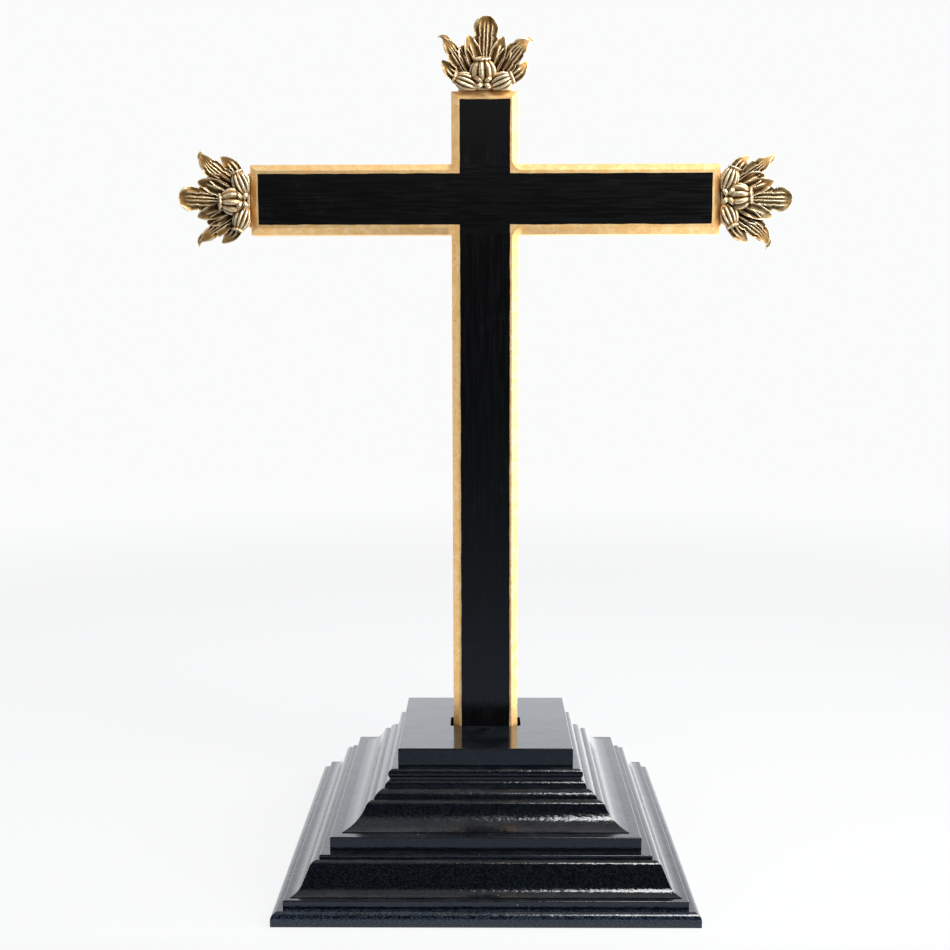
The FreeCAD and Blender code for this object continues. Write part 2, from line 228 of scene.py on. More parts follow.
class EffectShelf:
    """Builds each effect's node group once and hands it out."""

    def __init__(self) -> None:
        """Starts empty."""
        self._made: dict[Effect, bpy.types.NodeTree] = {}

    def take(self, effect: Effect) -> bpy.types.NodeTree:
        """Gives an effect's group.

        Args:
            effect: which one.

        Returns:
            Its node group.
        """
        if effect not in self._made:
            builders = {
                Effect.BRUSHED_PAINT: self._brushed_paint,
                Effect.NICKS: self._nicks,
                Effect.GOLD_LEAF: self._gold_leaf,
                Effect.SETTLED_DUST: self._settled_dust,
            }
            self._made[effect] = builders[effect](effect.value)
        return self._made[effect]

    @staticmethod
    def _start(name: str, inputs: dict[str, tuple[str, object]],
               outputs: dict[str, str]) -> tuple[Wiring, bpy.types.Node, bpy.types.Node]:
        """Makes an empty group with its sockets.

        Args:
            name: the group's name.
            inputs: each input's kind and starting value.
            outputs: each output's kind.

        Returns:
            The wiring, the node that gives the inputs and the node that takes the outputs.
        """
        tree = bpy.data.node_groups.new(name, "ShaderNodeTree")
        for label, (kind, start) in inputs.items():
            socket = tree.interface.new_socket(label, in_out="INPUT", socket_type=kind)
            if start is not None:
                socket.default_value = start
        for label, kind in outputs.items():
            tree.interface.new_socket(label, in_out="OUTPUT", socket_type=kind)
        wiring = Wiring(tree)
        return wiring, wiring.node("NodeGroupInput"), wiring.node("NodeGroupOutput")

    def _brushed_paint(self, name: str) -> bpy.types.NodeTree:
        """Fine ripples and long unevenness that a brush leaves in thick paint.

        Args:
            name: the group's name.

        Returns:
            The group. Its position input is already stretched along the brush strokes, in ripples.
        """
        w, given, result = self._start(
            name,
            {"Position": ("NodeSocketVector", None), "Ripple": ("NodeSocketFloat", 0.00001),
             "Swell": ("NodeSocketFloat", 0.00004)},
            {"Height": "NodeSocketFloat", "Streak": "NodeSocketFloat"},
        )
        ripple = w.noise(given.outputs["Position"], 1.0, 2.5, 0.55, 0.3)
        swell = w.noise(given.outputs["Position"], 0.16, 1.0, 0.4)
        fine = w.math("MULTIPLY", ripple, given.outputs["Ripple"])
        broad = w.math("MULTIPLY", swell, given.outputs["Swell"])
        w.feed(result.inputs["Height"], w.math("ADD", fine, broad))
        w.feed(result.inputs["Streak"], w.span(ripple, 0.35, 0.65))
        return w.tree

    def _nicks(self, name: str) -> bpy.types.NodeTree:
        """Sparse round specks where the paint is nicked or holds a grain of dust.

        Args:
            name: the group's name.

        Returns:
            The group.
        """
        w, given, result = self._start(
            name,
            {"Position": ("NodeSocketVector", None), "Per Metre": ("NodeSocketFloat", 140.0),
             "Share": ("NodeSocketFloat", 0.05), "Size": ("NodeSocketFloat", 0.12)},
            {"Mask": "NodeSocketFloat"},
        )
        cells = w.node("ShaderNodeTexVoronoi")
        w.feed(cells.inputs["Vector"], given.outputs["Position"])
        w.feed(cells.inputs["Scale"], given.outputs["Per Metre"])
        pick, size, _ = w.parts(cells.outputs["Color"])
        chosen = w.math("LESS_THAN", pick, given.outputs["Share"])
        radius = w.math("MULTIPLY", given.outputs["Size"], w.math("ADD", size, 0.35))
        inside = w.math("LESS_THAN", cells.outputs["Distance"], radius)
        w.feed(result.inputs["Mask"], w.math("MULTIPLY", chosen, inside))
        return w.tree

    def _gold_leaf(self, name: str) -> bpy.types.NodeTree:
        """Clouded gold with thin, rubbed and tarnished places.

        Args:
            name: the group's name.

        Returns:
            The group.
        """
        w, given, result = self._start(
            name,
            {"Position": ("NodeSocketVector", None), "Per Metre": ("NodeSocketFloat", 220.0),
             "Gold": ("NodeSocketColor", (0.9, 0.6, 0.28, 1.0)),
             "Pale": ("NodeSocketColor", (1.0, 0.8, 0.5, 1.0)),
             "Tarnish": ("NodeSocketColor", (0.3, 0.15, 0.05, 1.0)), "Age": ("NodeSocketFloat", 0.4)},
            {"Colour": "NodeSocketColor", "Wear": "NodeSocketFloat", "Height": "NodeSocketFloat"},
        )
        at = given.outputs["Position"]
        scale = given.outputs["Per Metre"]
        cloud = w.noise(at, scale, 4.0, 0.62, 0.6)
        spots = w.noise(at, w.math("MULTIPLY", scale, 3.7), 3.0, 0.6)
        warm = w.mix(w.span(cloud, 0.38, 0.68), given.outputs["Gold"], given.outputs["Pale"])
        worn = w.math("MULTIPLY", w.span(spots, 0.56, 0.74), given.outputs["Age"], clamp=True)
        w.feed(result.inputs["Colour"], w.mix(worn, warm, given.outputs["Tarnish"]))
        w.feed(result.inputs["Wear"], worn)
        w.feed(result.inputs["Height"], w.math("ADD", cloud, w.math("MULTIPLY", spots, 0.5)))
        return w.tree

    def _settled_dust(self, name: str) -> bpy.types.NodeTree:
        """A thin film of dust on what faces up.

        Args:
            name: the group's name.

        Returns:
            The group.
        """
        w, given, result = self._start(
            name,
            {"Position": ("NodeSocketVector", None), "Amount": ("NodeSocketFloat", 0.1)},
            {"Mask": "NodeSocketFloat"},
        )
        _, _, up = w.parts(w.node("ShaderNodeNewGeometry").outputs["Normal"])
        patchy = w.span(w.noise(given.outputs["Position"], 60.0, 5.0, 0.7), 0.35, 0.75)
        facing = w.span(up, 0.55, 0.98)
        w.feed(result.inputs["Mask"], w.math("MULTIPLY", w.math("MULTIPLY", patchy, facing),
                                             given.outputs["Amount"]))
        return w.tree


SHELF = EffectShelf()


class Grain(Enum):
    """Which way a board's grain and its brush strokes run."""

    ALONG_X = 0
    ALONG_Y = 1
    ALONG_Z = 2

    def stretched(self, along: float, across: float) -> Point:
        """Repeats per metre for a pattern drawn out along the grain.

        Args:
            along: repeats per metre along the grain.
            across: repeats per metre across it.

        Returns:
            Repeats per metre along X, Y and Z.
        """
        scales = [across, across, across]
        scales[self.value] = along
        return tuple(scales)


def new_material(name: str) -> tuple[bpy.types.Material, Wiring, bpy.types.Node, Socket]:
    """Makes a node material with a Principled shader on its output.

    Args:
        name: the material's name.

    Returns:
        The material, its wiring, its Principled shader and the position on the object.
    """
    material = bpy.data.materials.new(name)
    material.use_nodes = True
    w = Wiring(material.node_tree)
    shader = material.node_tree.nodes["Principled BSDF"]
    at = w.node("ShaderNodeTexCoord").outputs["Object"]
    return material, w, shader, at


def add_bump(w: Wiring, shader: bpy.types.Node, height: Socket) -> None:
    """Bumps a shader by a height in metres.

    Args:
        w: the material's wiring.
        shader: the Principled shader.
        height: the height.
    """
    bump = w.node("ShaderNodeBump")
    bump.inputs["Strength"].default_value = 1.0
    bump.inputs["Distance"].default_value = 1.0
    w.feed(bump.inputs["Height"], height)
    w.feed(shader.inputs["Normal"], bump.outputs[0])


# ---- finishes ----------------------------------------------------------------------------------
@dataclass(frozen=True)
class BlackLacquer:
    """Thick gloss black enamel brushed along a moulding."""

    grain: Grain
    name: str = "black_lacquer"
    ripple: float = 0.00012
    swell: float = 0.00016
    black: Colour = (0.0008, 0.001, 0.0016)
    haze: Colour = (0.0066, 0.0092, 0.0138)
    chip: Colour = (0.22, 0.23, 0.24)
    gloss_low: float = 0.07
    gloss_high: float = 0.15

    def material(self) -> bpy.types.Material:
        """Builds the finish.

        Returns:
            The material.
        """
        material, w, shader, at = new_material(f"{self.name}_{self.grain.name.lower()}")
        strokes = w.stretch(at, self.grain.stretched(380.0, 620.0))
        paint = w.place(SHELF.take(Effect.BRUSHED_PAINT), Position=strokes, Ripple=self.ripple,
                        Swell=self.swell)
        nick = w.place(SHELF.take(Effect.NICKS), Position=at, Per_Metre=260.0, Share=0.04, Size=0.09)
        dust = w.place(SHELF.take(Effect.SETTLED_DUST), Position=at, Amount=0.05)
        flaw = w.math("MAXIMUM", nick.outputs["Mask"], dust.outputs["Mask"])
        flecks = w.stretch(at, self.grain.stretched(760.0, 1100.0))
        mottle = w.span(w.noise(flecks, 1.0, 2.0, 0.6), 0.4, 0.66)
        w.feed(shader.inputs["Base Color"], w.mix(flaw, w.mix(mottle, self.black, self.haze), self.chip))
        gloss = w.span(paint.outputs["Streak"], 0.0, 1.0, self.gloss_low, self.gloss_high)
        w.feed(shader.inputs["Roughness"], w.math("MAXIMUM", gloss, w.math("MULTIPLY", flaw, 0.6)))
        shader.inputs["IOR"].default_value = 1.5
        add_bump(w, shader, paint.outputs["Height"])
        return material


@dataclass(frozen=True)
class PanelLines:
    """Where the black panel ends on the cross's face, all in metres."""

    half_width: float
    beam_z: float
    top_z: float
    beam_half: float
    front_y: float
    back_y: float


@dataclass(frozen=True)
class BlackAndGilt:
    """Satin black panel on the faces, with gold leaf on the chamfers and edges."""

    grain: Grain
    lines: PanelLines
    black: Colour = (0.0018, 0.0018, 0.002)
    scuff: Colour = (0.016, 0.016, 0.017)
    gold: Colour = (0.93, 0.56, 0.21)
    pale: Colour = (1.0, 0.7, 0.34)
    tarnish: Colour = (0.34, 0.15, 0.035)

    def _outside_panel(self, w: Wiring, at: Socket) -> Socket:
        """How far a point lies outside the black panel.

        Args:
            w: the material's wiring.
            at: the position on the object.

        Returns:
            The distance's socket, in metres, negative inside.
        """
        lines = self.lines
        x, _, z = w.parts(at)
        across = w.math("ABSOLUTE", x)
        off_beam = w.math("ABSOLUTE", w.math("SUBTRACT", z, lines.beam_z))
        round_off = 1.2 * MM
        upright = w.math("SMOOTH_MAX", w.math("SUBTRACT", across, lines.half_width),
                         w.math("SUBTRACT", z, lines.top_z), round_off)
        beam = w.math("SMOOTH_MAX", w.math("SUBTRACT", off_beam, lines.half_width),
                      w.math("SUBTRACT", across, lines.beam_half), round_off)
        waver = w.noise(at, 70.0, 2.0, 0.5)
        drift = w.math("MULTIPLY", w.math("SUBTRACT", waver, 0.5), 0.9 * MM)
        return w.math("ADD", w.math("MINIMUM", upright, beam), drift)

    def material(self) -> bpy.types.Material:
        """Builds the finish.

        Returns:
            The material.
        """
        material, w, shader, at = new_material(f"black_and_gilt_{self.grain.name.lower()}")
        _, y, _ = w.parts(at)
        soft = 0.12 * MM
        off_panel = w.span(self._outside_panel(w, at), -soft, soft)
        off_face = w.span(y, self.lines.front_y + soft, self.lines.front_y + 2 * soft)
        off_back = w.span(y, self.lines.back_y - 2 * soft, self.lines.back_y - soft, 1.0, 0.0)
        gilt = w.math("MULTIPLY", w.math("MAXIMUM", off_panel, off_face), off_back)

        strokes = w.stretch(at, self.grain.stretched(40.0, 700.0))
        paint = w.place(SHELF.take(Effect.BRUSHED_PAINT), Position=strokes, Ripple=0.000006, Swell=0.00002)
        patches = w.span(w.noise(at, 34.0, 6.0, 0.72), 0.52, 0.75)
        rubbed = w.math("MULTIPLY", patches, w.math("MULTIPLY", paint.outputs["Streak"], 0.4))
        black = w.mix(rubbed, self.black, self.scuff)
        leaf = w.place(SHELF.take(Effect.GOLD_LEAF), Position=at, Per_Metre=170.0, Gold=self.gold,
                       Pale=self.pale, Tarnish=self.tarnish, Age=0.42)
        w.feed(shader.inputs["Base Color"], w.mix(gilt, black, leaf.outputs["Colour"]))
        w.feed(shader.inputs["Metallic"], w.math("MULTIPLY", gilt, 0.7))
        satin = w.span(paint.outputs["Streak"], 0.0, 1.0, 0.15, 0.24)
        burnish = w.math("ADD", 0.45, w.math("MULTIPLY", leaf.outputs["Wear"], 0.4))
        rough = w.math("ADD", w.math("MULTIPLY", w.math("SUBTRACT", 1.0, gilt), satin),
                       w.math("MULTIPLY", gilt, burnish))
        w.feed(shader.inputs["Roughness"], rough)
        gold_height = w.math("MULTIPLY", leaf.outputs["Height"], w.math("MULTIPLY", gilt, 0.00002))
        add_bump(w, shader, w.math("ADD", gold_height, paint.outputs["Height"]))
        return material


@dataclass(frozen=True)
class AgedGilt:
    """Old gilding on carved leaves: brown in the recesses from patina and painted shade, pale on the ridges
    from rubbing and a painted highlight, greyed in patches.
    """

    gold: Colour = (0.36, 0.185, 0.047)
    pale: Colour = (0.56, 0.35, 0.14)
    tarnish: Colour = (0.17, 0.07, 0.016)
    # recess: the dark brown of patina in the hollows, also laid on as painted shade in the gaps between
    # lobes.
    recess: Colour = (0.03, 0.012, 0.002)
    patina: Colour = (0.42, 0.35, 0.2)
    # ridge: pale rubbed gilt on proud places, also a painted highlight.
    ridge: Colour = (0.88, 0.74, 0.5)
    fine_patina_and_shade: tuple[float, float] = (0.18, 0.49)
    broad_painted_shade: tuple[float, float] = (0.3, 0.57)
    rubbed_and_highlit_ridge: tuple[float, float] = (0.56, 0.8)

    def material(self) -> bpy.types.Material:
        """Builds the finish. It reads how proud or sunk each point is from the mesh's relief.

        Returns:
            The material.
        """
        material, w, shader, at = new_material("aged_gilt_painted_light")
        shift = w.node("ShaderNodeVectorMath", operation="ADD")
        w.feed(shift.inputs[0], at)
        w.feed(shift.inputs[1], w.node("ShaderNodeObjectInfo").outputs["Random"])
        own = shift.outputs[0]
        leaf = w.place(SHELF.take(Effect.GOLD_LEAF), Position=own, Per_Metre=190.0, Gold=self.gold,
                       Pale=self.pale, Tarnish=self.tarnish, Age=0.55)
        greyed = w.span(w.noise(own, 62.0, 3.0, 0.6), 0.5, 0.66, 0.0, 0.65)
        skin = w.mix(greyed, leaf.outputs["Colour"], self.patina)
        relief = w.node("ShaderNodeAttribute", attribute_name=RELIEF).outputs["Fac"]
        patchy = w.math("MULTIPLY", w.math("SUBTRACT", w.noise(own, 700.0, 3.0, 0.6), 0.5), 0.3)
        level = w.math("ADD", relief, patchy)
        deep = w.node("ShaderNodeAttribute", attribute_name=DEPTH).outputs["Fac"]
        # Painted shade: sunk places and the broad gaps between lobes darken towards the recess colour. The
        # fine recesses also hold patina.
        sunk = w.math("MAXIMUM", w.span(level, *self.fine_patina_and_shade, 1.0, 0.0),
                      w.span(deep, *self.broad_painted_shade, 1.0, 0.0))
        # Painted highlight: proud ridges pale towards the ridge colour. This is partly rubbed gilt and
        # partly a highlight painted in.
        proud = w.span(level, *self.rubbed_and_highlit_ridge)
        body = w.mix(sunk, skin, self.recess)
        w.feed(shader.inputs["Base Color"], w.mix(proud, body, self.ridge))
        w.feed(shader.inputs["Metallic"], w.span(sunk, 0.0, 1.0, 0.6, 0.85))
        rough = w.math("ADD", w.span(proud, 0.0, 1.0, 0.46, 0.32), w.math("MULTIPLY", sunk, 0.3))
        w.feed(shader.inputs["Roughness"], rough)
        add_bump(w, shader, w.math("MULTIPLY", leaf.outputs["Height"], 0.00008))
        return material


@dataclass(frozen=True)
class BareWood:
    """Planed softwood inside the plinth."""

    grain: Grain
    light: Colour = (0.66, 0.47, 0.26)
    dark: Colour = (0.42, 0.25, 0.11)

    def material(self) -> bpy.types.Material:
        """Builds the finish.

        Returns:
            The material.
        """
        material, w, shader, at = new_material(f"bare_wood_{self.grain.name.lower()}")
        rings = w.noise(w.stretch(at, self.grain.stretched(9.0, 160.0)), 1.0, 3.0, 0.55, 1.4)
        fibre = w.noise(w.stretch(at, self.grain.stretched(60.0, 2400.0)), 1.0, 2.0, 0.6)
        ringed = w.math("MULTIPLY", w.span(rings, 0.4, 0.66), 0.8)
        tone = w.math("ADD", ringed, w.math("MULTIPLY", fibre, 0.25))
        w.feed(shader.inputs["Base Color"], w.mix(tone, self.light, self.dark))
        shader.inputs["Roughness"].default_value = 0.62
        add_bump(w, shader, w.math("MULTIPLY", fibre, 0.00003))
        return material


@dataclass(frozen=True)
class PlainSteel:
    """Bright steel of the screws and studs, a little dulled."""

    bright: Colour = (0.5, 0.5, 0.49)
    dull: Colour = (0.24, 0.22, 0.2)

    def material(self) -> bpy.types.Material:
        """Builds the finish.

        Returns:
            The material.
        """
        material, w, shader, at = new_material("plain_steel")
        stain = w.span(w.noise(at, 320.0, 4.0, 0.65), 0.45, 0.7)
        w.feed(shader.inputs["Base Color"], w.mix(stain, self.bright, self.dull))
        shader.inputs["Metallic"].default_value = 1.0
        w.feed(shader.inputs["Roughness"], w.span(stain, 0.0, 1.0, 0.28, 0.55))
        turned = w.noise(w.stretch(at, (900.0, 900.0, 2600.0)), 1.0, 1.0)
        add_bump(w, shader, w.math("MULTIPLY", turned, 0.00001))
        return material


@dataclass(frozen=True)
class Baize:
    """Pressed green wool under the base."""

    deep: Colour = (0.008, 0.045, 0.02)
    light: Colour = (0.03, 0.12, 0.055)

    def material(self) -> bpy.types.Material:
        """Builds the finish.

        Returns:
            The material.
        """
        material, w, shader, at = new_material("baize")
        fibre = w.noise(at, 1500.0, 5.0, 0.75, 1.5)
        cloud = w.noise(at, 90.0, 3.0, 0.6)
        nap = w.math("MULTIPLY", w.span(fibre, 0.3, 0.7), 0.7)
        tone = w.math("ADD", nap, w.math("MULTIPLY", cloud, 0.3))
        w.feed(shader.inputs["Base Color"], w.mix(tone, self.deep, self.light))
        shader.inputs["Roughness"].default_value = 0.95
        shader.inputs["Sheen Weight"].default_value = 0.35
        add_bump(w, shader, w.math("MULTIPLY", fibre, 0.0002))
        return material


def dress(node: str, material: bpy.types.Material) -> None:
    """Gives a CAD node its finish.

    Args:
        node: the node's name.
        material: the finish.
    """
    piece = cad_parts[node]
    for slot in piece.material_slots:
        slot.material = material
    LOG.info("%s dressed in %s", node, material.name)


# ---- plinth ------------------------------------------------------------------------------------
@dataclass
class Plinth:
    """The stepped plinth, made of the CAD's own boards and mitred mouldings."""

    tiers: tuple[str, ...] = ("lower_moulding", "upper_moulding")
    inner_boards: tuple[str, ...] = ("deck_board", "socket_block")
    corners: tuple[str, ...] = ("front_left", "front_right", "rear_left", "rear_right")
    screws: tuple[str, ...] = ("base_screws", "deck_screws")
    side_grain: dict[str, Grain] = field(default_factory=lambda: {
        "front": Grain.ALONG_X, "rear": Grain.ALONG_X, "left": Grain.ALONG_Y, "right": Grain.ALONG_Y})

    def build(self) -> None:
        """Dresses every piece of the plinth."""
        lacquer = {grain: BlackLacquer(grain).material() for grain in (Grain.ALONG_X, Grain.ALONG_Y)}
        for tier in self.tiers:
            for side, grain in self.side_grain.items():
                dress(f"{tier}_{side}", lacquer[grain])
        dress("neck_board", lacquer[Grain.ALONG_X])
        # The base board's lacquer is a lighter copy. Its paler, bluer haze is a painted reflection, and its
        # duller gloss is wear from handling.
        dress("base_board", BlackLacquer(Grain.ALONG_X, "handled_lacquer_painted_sheen", haze=(0.018, 0.028, 0.044),
                                         gloss_low=0.1, gloss_high=0.22).material())
        dress("top_block", BlackLacquer(Grain.ALONG_X, "smooth_lacquer", ripple=0.000012,
                                        swell=0.00009).material())
        wood = BareWood(Grain.ALONG_X).material()
        for board in self.inner_boards:
            dress(board, wood)
        end_grain = BareWood(Grain.ALONG_Z).material()
        for corner in self.corners:
            dress(f"corner_block_{corner}", end_grain)
        steel = PlainSteel().material()
        for group in self.screws:
            dress(group, steel)
        dress("base_felt", Baize().material())


# ---- leaf finials ------------------------------------------------------------------------------
RELIEF = "relief"
DEPTH = "depth"

TIP_CURVE = 2.2                 # how late a lobe narrows towards its tip
NOTCH_LENGTH = 0.45             # how much of a segment its edge takes to grow back from a notch
NOTCH_CURVE = 1.5
BACKING = 0.8                   # how far the back is thickened, in hollows, so that no trough pierces it
EDGE_THICKNESS = 0.35           # how thick the blade stays where it runs out, as a share of its middle
RIDGE_FADE = 0.22               # how much of the lobe the ridges take to fade out
RIM_AT, RIM_WIDTH = 0.8, 0.18   # where the turned rim stands across the lobe, and how broad it is
CREASE_CURVE = 1.2              # how sharp the creases between a bud's ribs are
LIP_CREASE = 0.3                # how deep they still are at its lip, as a share


@dataclass(frozen=True)
class Petal:
    """One lobe of a carved leaf, in millimetres from the middle of the finial's foot.

    Its spine is a curve through four poles of (x, depth, z): x across, depth towards the viewer and z
    away from the arm. Ridges are given by where they run across the lobe, from -1 to 1.
    """

    spine: tuple[Point, ...]
    half_width: float
    ridges: tuple[float, ...] = (-1.0, 0.05, 1.0)
    hollow: float = 1.5
    root: float = 0.55
    belly: float = 0.6
    point: float = 0.7
    thick: float = 1.3
    cup: float = 0.1
    lean: float = 0.0
    bowl: float = 0.9
    skew: float = 0.0
    ridge_end: float = 0.86
    rim: float = 0.4
    notches: tuple[float, ...] = ()
    bite: float = 0.22

    def plain_width(self, u: np.ndarray) -> np.ndarray:
        """Half-width along the lobe before its edge is notched.

        Args:
            u: how far along, from 0 at the root to 1 at the tip.

        Returns:
            The half-widths.
        """
        low = np.clip(u / self.belly, 0, 1)
        high = np.clip((u - self.belly) / (1 - self.belly), 0, 1)
        swelling = self.root + (1 - self.root) * np.sin(low * math.pi / 2)
        return self.half_width * swelling * (1 - high ** TIP_CURVE) ** self.point

    def width_at(self, u: np.ndarray) -> np.ndarray:
        """Half-width along the lobe, with its notches.

        Args:
            u: how far along, from 0 at the root to 1 at the tip.

        Returns:
            The half-widths.
        """
        width = self.plain_width(u)
        for start, stop in zip(self.notches, (*self.notches[1:], 1.0)):
            run = np.clip((u - start) / (NOTCH_LENGTH * (stop - start)), 0, 1)
            nibbled = width * (1 - self.bite * (1 - run) ** NOTCH_CURVE)
            width = np.where((u >= start) & (u < stop), nibbled, width)
        return width

    def scoops(self, v: np.ndarray) -> np.ndarray:
        """How deep the front is scooped across the lobe: nothing on a ridge, most midway between two.

        Args:
            v: how far across, from -1 to 1.

        Returns:
            The depths, in hollows.
        """
        depth = np.zeros_like(v)
        for left, right in zip(self.ridges, self.ridges[1:]):
            t = np.clip((v - left) / (right - left), 0, 1)
            depth += np.sin(t * math.pi) ** 0.75 * (right - left) ** 0.45
        return depth

    def surface(self, rings: int = 52, spokes: int = 96) -> Skin:
        """The lobe as a closed skin: a thin blade whose front is scooped into troughs between sharp ridges.

        Args:
            rings: how many cross-sections it has.
            spokes: how many points each has.

        Returns:
            Its points in (x, depth, z) and its faces.
        """
        u = np.linspace(0.0, 1.0, rings)[:, None]
        poles = np.array(self.spine)
        weights = np.concatenate(((1 - u) ** 3, 3 * u * (1 - u) ** 2, 3 * u ** 2 * (1 - u), u ** 3), axis=1)
        spine = weights @ poles
        heading = np.gradient(spine[:, (0, 2)], axis=0)
        heading /= np.linalg.norm(heading, axis=1, keepdims=True)
        across = np.stack((-heading[:, 1], heading[:, 0]), axis=1)

        angle = np.linspace(0, 2 * math.pi, spokes, endpoint=False)[None, :]
        v, s = np.cos(angle), np.sin(angle)
        width = self.width_at(u)
        share = np.clip(self.plain_width(u) / self.half_width, 0, 1)
        front = np.clip(s * 4, 0, 1)
        depth = np.where(s > 0, self.thick, -self.thick - BACKING * self.hollow)
        blade = depth * np.abs(s) ** 0.8 * (EDGE_THICKNESS + (1 - EDGE_THICKNESS) * share)
        ridged = np.clip((self.ridge_end - u) / RIDGE_FADE, 0, 1)
        ridged = ridged * ridged * (3 - 2 * ridged)
        scoop = ridged * self.hollow * self.scoops(v) + (1 - ridged) * self.bowl * (1 - v ** 2)
        rim = (1 - ridged) * self.rim * np.exp(-((np.abs(v) - RIM_AT) / RIM_WIDTH) ** 2)
        relief = self.cup * width * v ** 2 + self.lean * width * v
        offset = width * (v + self.skew * v ** 2)
        points = np.empty((rings, spokes, 3))
        points[..., 0] = spine[:, :1] + across[:, :1] * offset
        points[..., 2] = spine[:, 2:] + across[:, 1:] * offset
        points[..., 1] = spine[:, 1:2] + blade + relief - front * share * (scoop - rim)
        return close_tube(points)


def close_tube(points: np.ndarray) -> Skin:
    """Faces for rings of points, closed at both ends.

    Args:
        points: rings by spokes by 3.

    Returns:
        The points in one list and the faces.
    """
    rings, spokes, _ = points.shape
    faces = []
    for r in range(rings - 1):
        for s in range(spokes):
            t = (s + 1) % spokes
            faces.append((r * spokes + s, r * spokes + t, (r + 1) * spokes + t, (r + 1) * spokes + s))
    flat = points.reshape(-1, 3)
    ends = np.stack((points[0].mean(0), points[-1].mean(0)))
    first, last = len(flat), len(flat) + 1
    for s in range(spokes):
        t = (s + 1) % spokes
        faces.append((first, t, s))
        faces.append((last, (rings - 1) * spokes + s, (rings - 1) * spokes + t))
    return np.concatenate((flat, ends)), faces


@dataclass(frozen=True)
class Bud:
    """A ribbed cup-shaped bud with a curled lip, in millimetres, from its base to its mouth."""

    base: Point
    mouth: Point
    radius: float
    ribs: int = 10
    furrow: float = 0.24
    flatten: float = 0.85
    outline: tuple[tuple[float, float], ...] = (
        (0.0, 0.2), (0.03, 0.38), (0.09, 0.58), (0.18, 0.78), (0.3, 0.93), (0.43, 1.0), (0.56, 0.99),
        (0.68, 0.93), (0.79, 0.81), (0.87, 0.66), (0.91, 0.56), (0.94, 0.57), (0.98, 0.63), (1.02, 0.62),
        (1.04, 0.55), (1.02, 0.47), (0.94, 0.38), (0.88, 0.04))
    body_rows: int = 10

    def surface(self, spokes: int = 176) -> Skin:
        """The bud as a closed skin.

        Args:
            spokes: how many points each ring has.

        Returns:
            Its points in (x, depth, z) and its faces.
        """
        base, mouth = np.array(self.base), np.array(self.mouth)
        axis = mouth - base
        length = np.linalg.norm(axis)
        axis /= length
        side = np.cross((0.0, 1.0, 0.0), axis)
        side /= np.linalg.norm(side)
        facing = np.cross(axis, side)
        angle = np.linspace(0, 2 * math.pi, spokes, endpoint=False)
        crease = (1 - np.abs(np.sin(angle * self.ribs / 2))) ** CREASE_CURVE
        points = np.empty((len(self.outline), spokes, 3))
        for row, (run, radius) in enumerate(self.outline):
            body_fade = math.sin(math.pi * min(run, 0.9) / 1.1) ** 0.5
            fade = body_fade if row < self.body_rows else LIP_CREASE
            spoke = self.radius * radius * (1 - self.furrow * fade * crease)
            points[row] = (base + axis * length * run + side * (spoke * np.cos(angle))[:, None]
                           + facing * (spoke * np.sin(angle) * self.flatten)[:, None])
        return close_tube(points)


